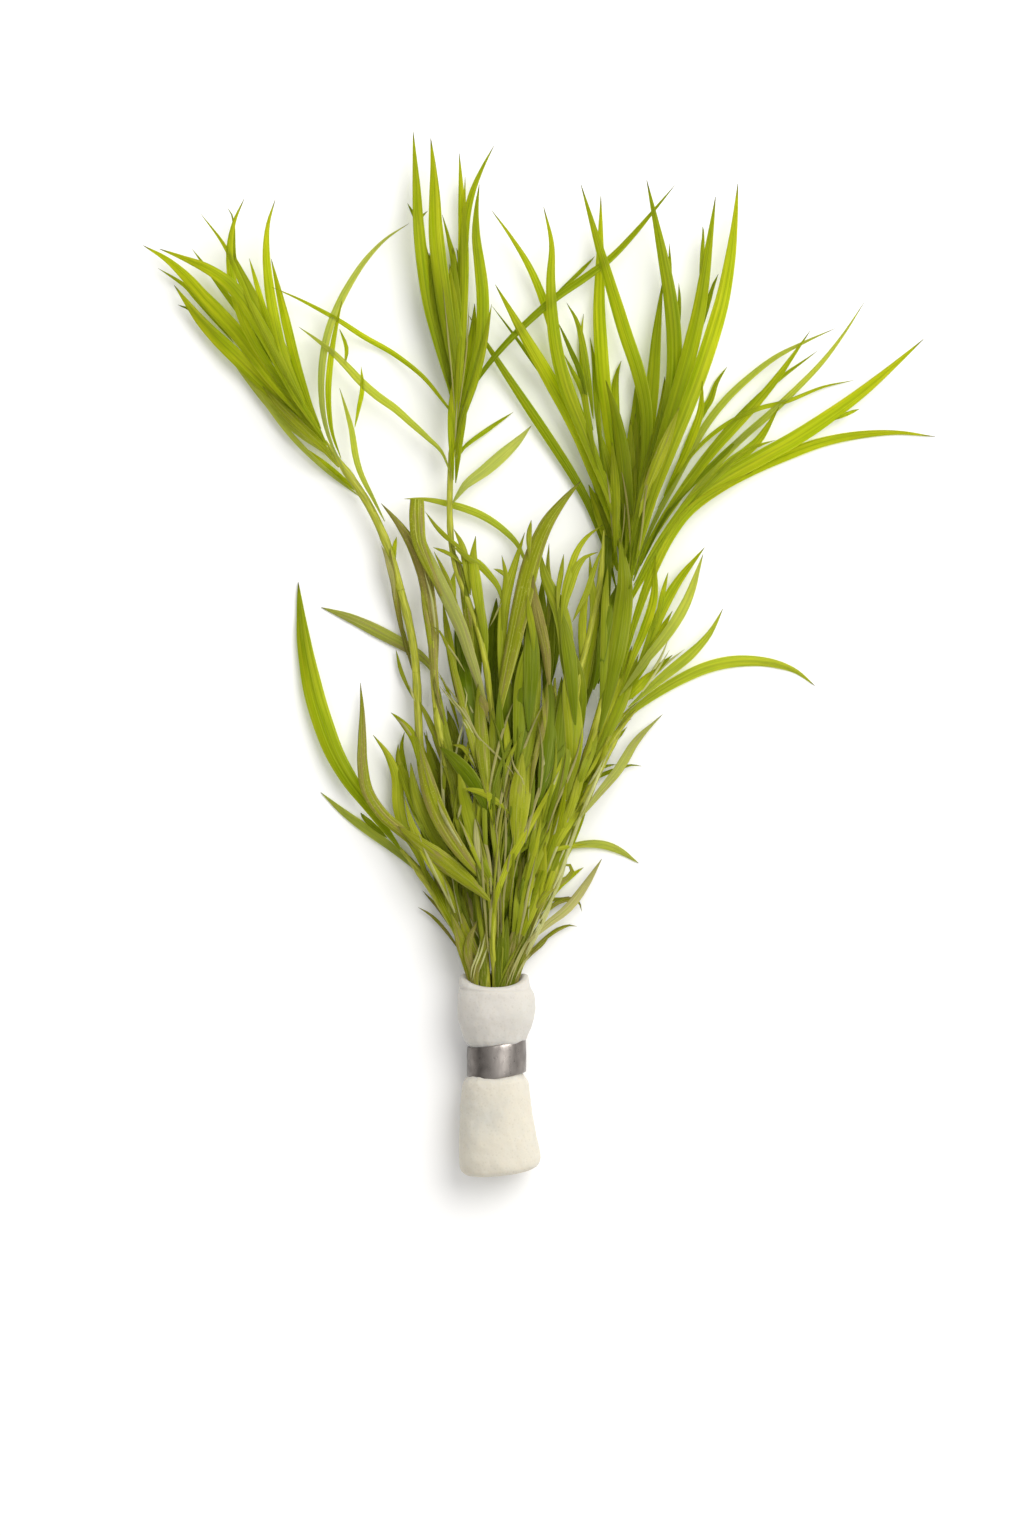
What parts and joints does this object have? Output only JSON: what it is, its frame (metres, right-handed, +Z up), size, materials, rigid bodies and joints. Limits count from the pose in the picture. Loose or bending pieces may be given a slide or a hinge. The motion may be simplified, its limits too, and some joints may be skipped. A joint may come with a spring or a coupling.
{
  "type": "stargrass bunch",
  "caption": "Bunch of grass-leaved aquarium stem cuttings lying on its side, its cut ends held in a foam sleeve under a bent lead strip.",
  "frame": {"origin": "centre of the bounding box in plan, on the surface that the bunch lies on", "axes": "+Y from the wrapped cut ends to the leaf tips, +X to the right as seen from above, +Z up from the surface"},
  "size_m": [0.1345, 0.1771, 0.0126],
  "materials": {
    "leaf_young_green": "fresh yellow-green leaf, thin and a little translucent, satin",
    "leaf_deep_green": "deeper green leaf in the shade of others, satin",
    "leaf_olive": "older olive leaf, dull",
    "stem_green": "yellow-green fleshy stem, satin",
    "foam": "soft off-white foam, matte",
    "lead": "dull grey lead, scuffed and dented"
  },
  "bodies": {
    "root": {"foam_sleeve": "foam", "lead_strip": "lead", "stem_back": "stem_green", "stem_lower_left": "stem_green", "stem_lower_right": "stem_green", "stem_left": "stem_green", "stem_inner_right": "stem_green", "stem_middle": "stem_green", "stem_inner_left": "stem_green", "stem_right": "stem_green", "stem_bright": "stem_green", "leaf_left_1": "leaf_deep_green", "leaf_left_2": "leaf_young_green", "leaf_left_3": "leaf_young_green", "leaf_left_4": "leaf_deep_green", "leaf_left_5": "leaf_young_green", "leaf_left_6": "leaf_young_green", "leaf_left_7": "leaf_young_green", "leaf_left_8": "leaf_young_green", "leaf_middle_1": "leaf_deep_green", "leaf_middle_2": "leaf_deep_green", "leaf_middle_3": "leaf_young_green", "leaf_middle_4": "leaf_young_green", "leaf_middle_5": "leaf_young_green", "leaf_middle_6": "leaf_young_green", "leaf_middle_7": "leaf_young_green", "leaf_right_1": "leaf_deep_green", "leaf_right_2": "leaf_young_green", "leaf_right_3": "leaf_young_green", "leaf_right_4": "leaf_deep_green", "leaf_right_5": "leaf_young_green", "leaf_right_6": "leaf_deep_green", "leaf_right_7": "leaf_young_green", "leaf_right_8": "leaf_young_green", "leaf_right_9": "leaf_young_green", "leaf_right_10": "leaf_young_green", "leaf_sweep_1": "leaf_young_green", "leaf_sweep_2": "leaf_young_green", "leaf_sweep_3": "leaf_young_green", "leaf_sweep_4": "leaf_young_green", "leaf_sweep_5": "leaf_young_green", "leaf_arc_1": "leaf_young_green", "leaf_arc_2": "leaf_young_green", "leaf_cross_1": "leaf_young_green", "leaf_cross_2": "leaf_young_green", "leaf_inner_1": "leaf_olive", "leaf_inner_2": "leaf_young_green", "leaf_inner_3": "leaf_young_green", "leaf_inner_4": "leaf_olive", "leaf_lower_left_1": "leaf_young_green", "leaf_lower_left_2": "leaf_young_green", "leaf_lower_left_3": "leaf_young_green", "leaf_lower_left_4": "leaf_young_green", "leaf_lower_right_1": "leaf_young_green", "leaf_lower_right_2": "leaf_young_green", "leaf_lower_right_3": "leaf_young_green", "leaf_lower_right_4": "leaf_young_green", "leaf_lower_right_5": "leaf_young_green", "leaf_lower_right_6": "leaf_young_green", "leaf_lower_right_7": "leaf_young_green"}
  },
  "joints": []
}
